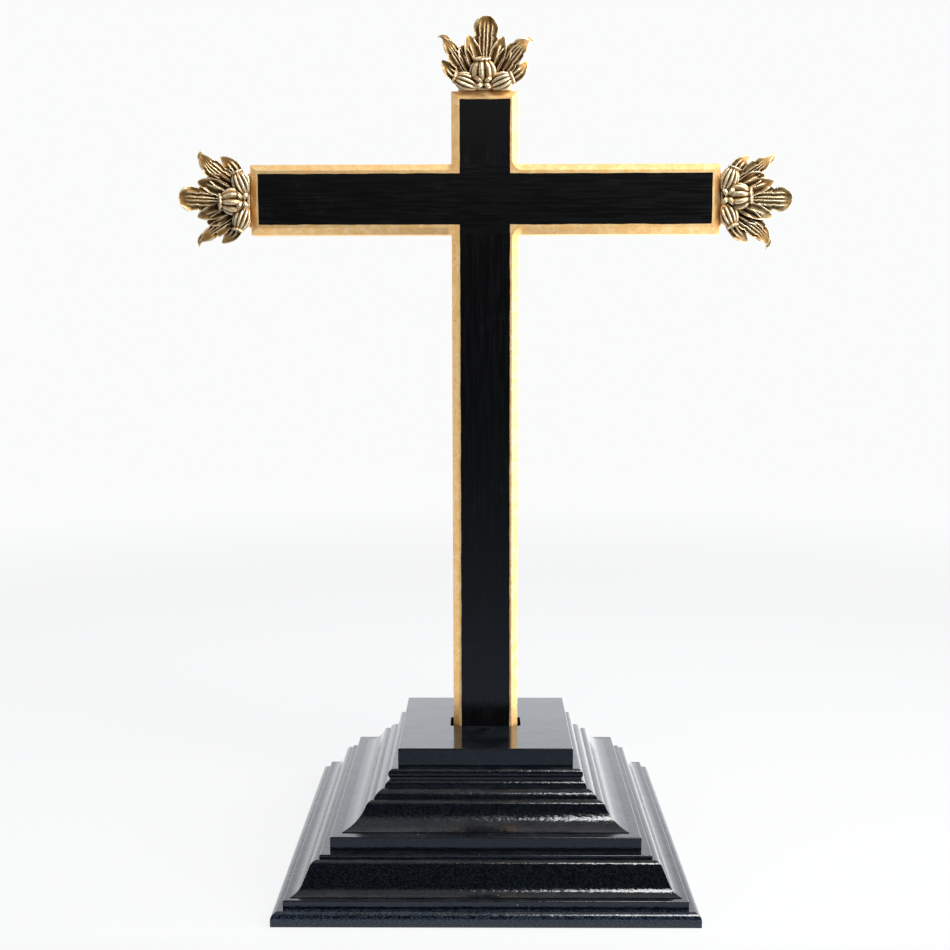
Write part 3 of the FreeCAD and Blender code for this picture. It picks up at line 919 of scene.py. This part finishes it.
# The lobes of the middle leaf, of the left leaf and of the right leaf, then the four petals at the foot.
MIDRIB = (-1.0, -0.5, -0.15, 0.15, 0.5, 1.0)
PETALS = (
    Petal(((-0.2, 1.0, 8.0), (-0.4, 4.4, 20.0), (0.8, 7.6, 35.0), (1.0, 9.0, 46.8)), 8.2, ridges=MIDRIB,
          hollow=2.3, root=0.34, belly=0.78, point=0.5, thick=1.8, bowl=1.9, ridge_end=0.96, rim=1.9,
          notches=(0.44, 0.66), bite=0.13),
    Petal(((-2.0, 2.4, 9.0), (-5.2, 7.6, 16.0), (-8.4, 10.6, 25.0), (-10.8, 5.6, 35.6)), 5.1, lean=0.25,
          hollow=2.5, bowl=2.2, belly=0.55, point=0.65, rim=1.0),
    Petal(((2.2, 2.4, 9.0), (6.2, 7.6, 16.0), (9.2, 10.4, 24.0), (11.8, 5.4, 35.0)), 5.1, lean=-0.25,
          hollow=2.5, bowl=2.2, belly=0.55, point=0.65, rim=1.0),
    Petal(((-6.0, 2.0, 5.0), (-13.6, 5.8, 12.4), (-19.0, 10.0, 27.0), (-27.4, 7.4, 32.4)), 5.3,
          ridges=(-1.0, -0.3, 0.06, 0.36, 1.0), hollow=2.1, belly=0.58, point=0.8, thick=1.6, skew=0.15,
          notches=(0.4, 0.66)),
    Petal(((-20.0, 6.6, 25.0), (-23.6, 8.6, 31.0), (-25.4, 8.6, 35.4), (-31.4, 4.6, 34.2)), 2.5,
          hollow=1.0, root=0.7, belly=0.3, point=1.1),
    Petal(((-4.0, 3.0, 7.0), (-8.0, 7.4, 14.0), (-14.4, 10.4, 19.6), (-14.2, 6.2, 29.2)), 4.3,
          hollow=2.5, point=0.5, bowl=2.2, cup=0.2, rim=0.8),
    Petal(((-8.0, 1.5, 5.0), (-15.0, 4.8, 8.4), (-22.0, 7.6, 9.2), (-28.0, 3.4, 20.4)), 5.0,
          ridges=(-1.0, -0.25, 0.3, 1.0), hollow=1.9, root=0.6, point=0.85, skew=-0.1),
    Petal(((6.0, 2.0, 5.0), (14.0, 5.8, 15.0), (20.0, 10.4, 29.0), (30.0, 7.6, 31.2)), 6.3,
          ridges=(-1.0, -0.52, -0.16, 0.12, 0.42, 1.0), hollow=2.1, belly=0.55, point=0.8, thick=1.6,
          notches=(0.42, 0.68), bite=0.18),
    Petal(((20.0, 6.6, 25.0), (25.0, 9.0, 31.0), (28.4, 8.8, 34.0), (33.4, 4.6, 30.4)), 2.6,
          hollow=1.0, root=0.7, belly=0.3, point=1.1),
    Petal(((5.0, 3.0, 7.0), (8.0, 7.4, 14.0), (12.6, 10.2, 19.6), (16.0, 6.0, 28.8)), 4.1,
          hollow=2.5, point=0.6, bowl=2.0, cup=0.2, rim=0.8),
    Petal(((8.0, 1.5, 5.0), (15.0, 4.8, 7.8), (22.0, 7.6, 8.6), (28.2, 3.4, 20.0)), 5.2,
          ridges=(-1.0, -0.3, 0.25, 1.0), hollow=1.9, root=0.6, point=0.85, skew=0.1),
    Petal(((-1.0, 11.0, 4.0), (-2.4, 13.4, 5.4), (-4.0, 14.2, 6.6), (-6.4, 12.4, 7.2)), 1.45, hollow=0.6),
    Petal(((-0.6, 11.0, 4.0), (0.8, 13.4, 5.4), (2.6, 14.2, 6.6), (4.6, 12.4, 7.0)), 1.45, hollow=0.6),
    Petal(((-1.0, 11.0, 3.8), (-2.4, 13.2, 2.8), (-4.0, 13.8, 1.7), (-5.8, 12.0, 0.9)), 1.4, hollow=0.6),
    Petal(((-0.6, 11.0, 3.8), (0.8, 13.2, 2.8), (2.2, 13.8, 1.7), (4.0, 12.0, 0.9)), 1.4, hollow=0.6),
)
BUDS = (
    Bud((-0.8, 5.6, 3.6), (-1.4, 11.0, 19.6), 9.0, ribs=9, furrow=0.36),
    Bud((-4.6, 6.4, 2.6), (-20.0, 8.8, 8.2), 6.3, ribs=11, furrow=0.36),
    Bud((3.6, 6.4, 2.6), (18.0, 8.8, 8.4), 6.4, ribs=11, furrow=0.36),
)


@dataclass
class LeafFinials:
    """Three castings of one carved leaf cluster, one on the end of each arm.

    The foot, the core and the voxel that melts the lobes together are in millimetres. Relief is how proud a
    point is of its near neighbours, depth of a wide ring of them: each has its reach in smoothing turns and
    the height in millimetres that counts as fully proud.
    """

    foot: Point = (18.0, 5.4, 1.5)
    core: Point = (15.0, 3.6, 10.0)
    voxel: float = 0.31
    soften: int = 2
    relief_reach: int = 14
    relief_scale: float = 0.36
    depth_reach: int = 110
    depth_scale: float = 2.0
    finish: AgedGilt = field(default_factory=AgedGilt)

    @staticmethod
    def _blob(centre: Point, radii: Point) -> Skin:
        """A closed rounded lump that joins the leaves behind the buds.

        Args:
            centre: its middle in (x, depth, z), in millimetres.
            radii: its half-sizes.

        Returns:
            Its points and faces.
        """
        rings, spokes = 20, 48
        polar = np.linspace(0.06, math.pi - 0.06, rings)[:, None]
        turn = np.linspace(0, 2 * math.pi, spokes, endpoint=False)[None, :]
        unit = np.stack((np.sin(polar) * np.cos(turn), np.sin(polar) * np.sin(turn),
                         np.cos(polar) * np.ones_like(turn)), axis=2)
        unit = np.sign(unit) * np.abs(unit) ** 0.72
        return close_tube(np.array(centre) + unit * np.array(radii))

    def _raw_mesh(self) -> bpy.types.Mesh:
        """All lobes, buds and the foot as overlapping closed skins.

        Returns:
            The mesh, in millimetres.
        """
        skins = [petal.surface() for petal in PETALS]
        skins += [bud.surface() for bud in BUDS]
        wide, deep, tall = self.foot
        skins.append(self._blob((0.0, 0.0, tall), (wide, deep, tall)))
        skins.append(self._blob((0.0, 0.4, self.core[2]), self.core))
        points, faces, total = [], [], 0
        for skin, polygons in skins:
            faces += [tuple(i + total for i in polygon) for polygon in polygons]
            points.append(skin)
            total += len(skin)
        stacked = np.concatenate(points)
        stacked[:, 1] *= -1
        stacked[:, 2] = np.maximum(stacked[:, 2], 0.0)
        mesh = bpy.data.meshes.new("finial_skins")
        mesh.from_pydata(stacked.tolist(), [], faces)
        return mesh

    def _carve(self, raw: bpy.types.Mesh) -> bpy.types.Mesh:
        """Melts the skins into one closed carving.

        Args:
            raw: the overlapping skins.

        Returns:
            The carved mesh, in metres.
        """
        helper = bpy.data.objects.new("finial_helper", raw)
        bpy.context.scene.collection.objects.link(helper)
        remesh = helper.modifiers.new("melt", "REMESH")
        remesh.mode = "VOXEL"
        remesh.voxel_size = self.voxel
        smooth = helper.modifiers.new("soften", "SMOOTH")
        smooth.iterations = self.soften
        graph = bpy.context.evaluated_depsgraph_get()
        carved = bpy.data.meshes.new_from_object(helper.evaluated_get(graph))
        bpy.data.objects.remove(helper)
        carved.transform(Matrix.Scale(MM, 4))
        carved.polygons.foreach_set("use_smooth", [True] * len(carved.polygons))
        carved.name = "leaf_finial"
        return carved

    def _mark_relief(self, mesh: bpy.types.Mesh) -> None:
        """Stores how proud or sunk each point is, from 0 in a recess to 1 on a ridge, finely and broadly.

        Args:
            mesh: the carved mesh.
        """
        count = len(mesh.vertices)
        at = np.empty(count * 3)
        mesh.vertices.foreach_get("co", at)
        at = at.reshape(-1, 3)
        facing = np.empty(count * 3)
        mesh.vertex_normals.foreach_get("vector", facing)
        facing = facing.reshape(-1, 3)
        ends = np.empty(len(mesh.edges) * 2, dtype=np.int64)
        mesh.edges.foreach_get("vertices", ends)
        ends = ends.reshape(-1, 2)
        takes = np.concatenate((ends[:, 0], ends[:, 1]))
        gives = np.concatenate((ends[:, 1], ends[:, 0]))
        neighbours = np.bincount(takes, minlength=count)
        levelled = at.copy()
        scales = {self.relief_reach: (RELIEF, self.relief_scale),
                  self.depth_reach: (DEPTH, self.depth_scale)}
        for turn in range(1, self.depth_reach + 1):
            levelled = np.stack([np.bincount(takes, levelled[gives, axis], count) / neighbours
                                 for axis in range(3)], axis=1)
            if turn in scales:
                name, scale = scales[turn]
                proud = ((at - levelled) * facing).sum(1) / (scale * MM)
                layer = mesh.attributes.new(name, "FLOAT", "POINT")
                layer.data.foreach_set("value", np.clip(0.5 + 0.5 * proud, 0, 1).astype(np.float32))

    def build(self) -> None:
        """Carves one finial and sets a casting of it on each arm in place of the CAD's plain one."""
        mesh = self._carve(self._raw_mesh())
        self._mark_relief(mesh)
        mesh.materials.append(self.finish.material())
        _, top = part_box("cross_upright")
        beam_low, beam_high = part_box("cross_beam")
        beam_z = (beam_low.z + beam_high.z) / 2
        arms = {
            "top": (0.0, Vector((0.0, 0.0, top.z))),
            "right": (math.pi / 2, Vector((beam_high.x, 0.0, beam_z))),
            "left": (-math.pi / 2, Vector((beam_low.x, 0.0, beam_z))),
        }
        for name, (turn, end) in arms.items():
            piece = bpy.data.objects.new(f"leaf_finial_{name}", mesh)
            bpy.context.scene.collection.objects.link(piece)
            piece.matrix_world = Matrix.Translation(end) @ Matrix.Rotation(turn, 4, "Y")
            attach(piece, "cross")
            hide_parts(f"finial_{name}")
            LOG.info("%s set, %d faces", piece.name, len(mesh.polygons))


# ---- cross -------------------------------------------------------------------------------------
@dataclass
class Cross:
    """The upright and the beam, painted and gilded, with their finials and studs."""

    gilt_margin: float = 5.5 * MM
    ends: tuple[str, ...] = ("top", "left", "right")

    def panel_lines(self) -> PanelLines:
        """Works out where the black panel ends from the boards' own sizes.

        Returns:
            The panel's lines.
        """
        low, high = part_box("cross_upright")
        beam_low, beam_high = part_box("cross_beam")
        return PanelLines(
            half_width=high.x - self.gilt_margin,
            beam_z=(beam_low.z + beam_high.z) / 2,
            top_z=high.z - self.gilt_margin,
            beam_half=beam_high.x - self.gilt_margin,
            front_y=low.y,
            back_y=high.y,
        )

    def build(self) -> None:
        """Dresses the boards and the studs."""
        lines = self.panel_lines()
        dress("cross_upright", BlackAndGilt(Grain.ALONG_Z, lines).material())
        dress("cross_beam", BlackAndGilt(Grain.ALONG_X, lines).material())
        steel = PlainSteel().material()
        for end in self.ends:
            dress(f"finial_stud_{end}", steel)


# ---- studio ------------------------------------------------------------------------------------
@dataclass(frozen=True)
class Softbox:
    """A rectangular soft light: where it hangs, the point it faces, its width and height, and its power."""

    name: str
    place: Point
    aim: Point
    size: tuple[float, float]
    watts: float


@dataclass
class Studio:
    """A plain pale floor, soft light and the camera."""

    softboxes: tuple[Softbox, ...] = (
        Softbox("overhead_right", (0.42, -0.64, 1.4), (0.12, -0.1, 0.05), (0.5, 0.55), 18.0),
        Softbox("front_right", (0.95, -0.85, 0.5), (0.0, 0.0, 0.35), (0.5, 0.9), 8.0),
    )
    lens_mm: float = 47.85
    sensor_mm: float = 36.0
    eye: Point = (0.0002, -0.8525, 0.3609)
    pitch_down: float = 0.1187
    yaw: float = 0.0084
    roll: float = -0.002
    floor_half: float = 30.0
    shade_from_y: float = -0.145
    near_floor: tuple[float, float] = (0.45, 2.2)
    near_glow: float = 0.83
    white: Colour = (0.962, 0.966, 0.97)
    shade: Colour = (0.55, 0.68, 0.88)

    def _camera(self) -> None:
        """Sets the camera at eye height in front."""
        data = bpy.data.cameras.new("camera")
        data.lens = self.lens_mm
        data.sensor_width = self.sensor_mm
        data.clip_start = 0.01
        camera = bpy.data.objects.new("camera", data)
        turn = (Matrix.Rotation(self.yaw, 4, "Z") @ Matrix.Rotation(math.pi / 2 - self.pitch_down, 4, "X")
                @ Matrix.Rotation(self.roll, 4, "Z"))
        camera.matrix_world = Matrix.Translation(Vector(self.eye)) @ turn
        bpy.context.scene.collection.objects.link(camera)
        bpy.context.scene.camera = camera

    def _floor(self) -> None:
        """Lays the pale floor: white paper that glows a little, falling into shade in front."""
        mesh = bpy.data.meshes.new("floor")
        h = self.floor_half
        mesh.from_pydata([(-h, -h, 0), (h, -h, 0), (h, h, 0), (-h, h, 0)], [], [(0, 1, 2, 3)])
        floor = bpy.data.objects.new("floor", mesh)
        bpy.context.scene.collection.objects.link(floor)
        material, w, shader, at = new_material("pale_floor")
        x, y, _ = w.parts(at)
        away = w.math("SQRT", w.math("ADD", w.math("MULTIPLY", x, x), w.math("MULTIPLY", y, y)))
        near = w.span(away, *self.near_floor, 1.0, 0.0)
        lit = w.span(y, self.shade_from_y - 0.045, self.shade_from_y + 0.005)
        grey = w.math("MULTIPLY", near, w.math("ADD", w.math("MULTIPLY", lit, 0.1), 0.02))
        tooth = w.noise(at, 900.0, 2.0)
        paper = w.math("MULTIPLY", grey, w.math("ADD", 0.94, w.math("MULTIPLY", tooth, 0.12)))
        w.feed(shader.inputs["Base Color"], w.mix(paper, (0.0, 0.0, 0.0), (1.0, 1.0, 1.0)))
        shader.inputs["Roughness"].default_value = 0.9
        shader.inputs["Specular IOR Level"].default_value = 0.0
        ahead_by = w.math("MAXIMUM", w.math("MULTIPLY", y, -1.0), 0.15)
        fall = w.math("POWER", w.math("DIVIDE", 0.15, ahead_by), 0.8)
        levelling = w.math("MULTIPLY", near, w.span(lit, 0.0, 1.0, 0.125, 0.0))
        glow = w.math("ADD", w.span(near, 0.0, 1.0, 1.0, self.near_glow), levelling)
        dim = w.mix(fall, (0.0, 0.0, 0.0), self.shade)
        bright = w.mix(glow, (0.0, 0.0, 0.0), self.white)
        seen = w.node("ShaderNodeLightPath").outputs["Is Camera Ray"]
        shaded = w.span(y, self.shade_from_y, self.shade_from_y + 0.02, 1.0, 0.0)
        ahead = w.math("MULTIPLY", shaded, w.math("SUBTRACT", 1.0, seen))
        w.feed(shader.inputs["Emission Color"], w.mix(ahead, bright, dim))
        brighter = w.math("ADD", 0.4, w.span(x, 0.0, 0.3, 0.0, 1.3))
        behind = w.span(y, self.shade_from_y, self.shade_from_y + 0.055)
        gleam = w.math("MULTIPLY", w.math("SUBTRACT", 1.0, seen), behind)
        gleam = w.math("MULTIPLY", gleam, brighter)
        w.feed(shader.inputs["Emission Strength"], w.math("ADD", 1.0, gleam))
        mesh.materials.append(material)

    @staticmethod
    def _hang(box: Softbox) -> None:
        """Hangs a soft light.

        Args:
            box: the light.
        """
        data = bpy.data.lights.new(box.name, "AREA")
        data.shape = "RECTANGLE"
        data.size, data.size_y = box.size
        data.energy = box.watts
        light = bpy.data.objects.new(box.name, data)
        light.location = box.place
        light.rotation_euler = (Vector(box.place) - Vector(box.aim)).to_track_quat("Z", "Y").to_euler()
        bpy.context.scene.collection.objects.link(light)

    def _surroundings(self) -> None:
        """Paints the room: white behind and to the right, dimmer to the left and dark in front."""
        world = bpy.data.worlds.new("studio")
        world.use_nodes = True
        bpy.context.scene.world = world
        w = Wiring(world.node_tree)
        shell = world.node_tree.nodes["Background"]
        x, y, z = w.parts(w.node("ShaderNodeTexCoord").outputs["Generated"])
        behind = w.math("ADD", w.span(y, 0.2, 0.6, 0.0, 0.7), w.span(y, 0.75, 0.94, 0.0, 1.3))
        ahead = w.math("MULTIPLY", w.span(z, 0.12, 0.18), w.span(z, 0.2, 0.28, 0.35, 0.0))
        ahead = w.math("MULTIPLY", ahead, w.span(y, -0.93, -0.88, 1.0, 0.0))
        right = w.span(x, 0.4, 0.95, 0.0, 3.3)
        left = w.span(x, -0.95, -0.4, 0.8, 0.0)
        overhead = w.span(z, 0.84, 0.98, 0.0, 0.5)
        glow = w.math("ADD", w.math("ADD", behind, right), w.math("ADD", left, overhead))
        glow = w.math("ADD", glow, w.math("ADD", ahead, 0.03))
        seen = w.node("ShaderNodeLightPath").outputs["Is Camera Ray"]
        w.feed(shell.inputs["Color"], w.mix(seen, (0.92, 0.95, 1.0), self.white))
        w.feed(shell.inputs["Strength"],
               w.math("ADD", w.math("MULTIPLY", glow, w.math("SUBTRACT", 1.0, seen)), seen))

    def build(self) -> None:
        """Sets up the camera, the floor and the lights."""
        self._camera()
        self._floor()
        self._surroundings()
        for box in self.softboxes:
            self._hang(box)
        bpy.context.scene.view_settings.view_transform = "Standard"


def main() -> None:
    """Builds the cross in order."""
    logging.basicConfig(level=logging.INFO, format="%(message)s")
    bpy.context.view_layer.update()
    Studio().build()
    Plinth().build()
    Cross().build()
    LeafFinials().build()


if __name__ == "__main__":
    main()
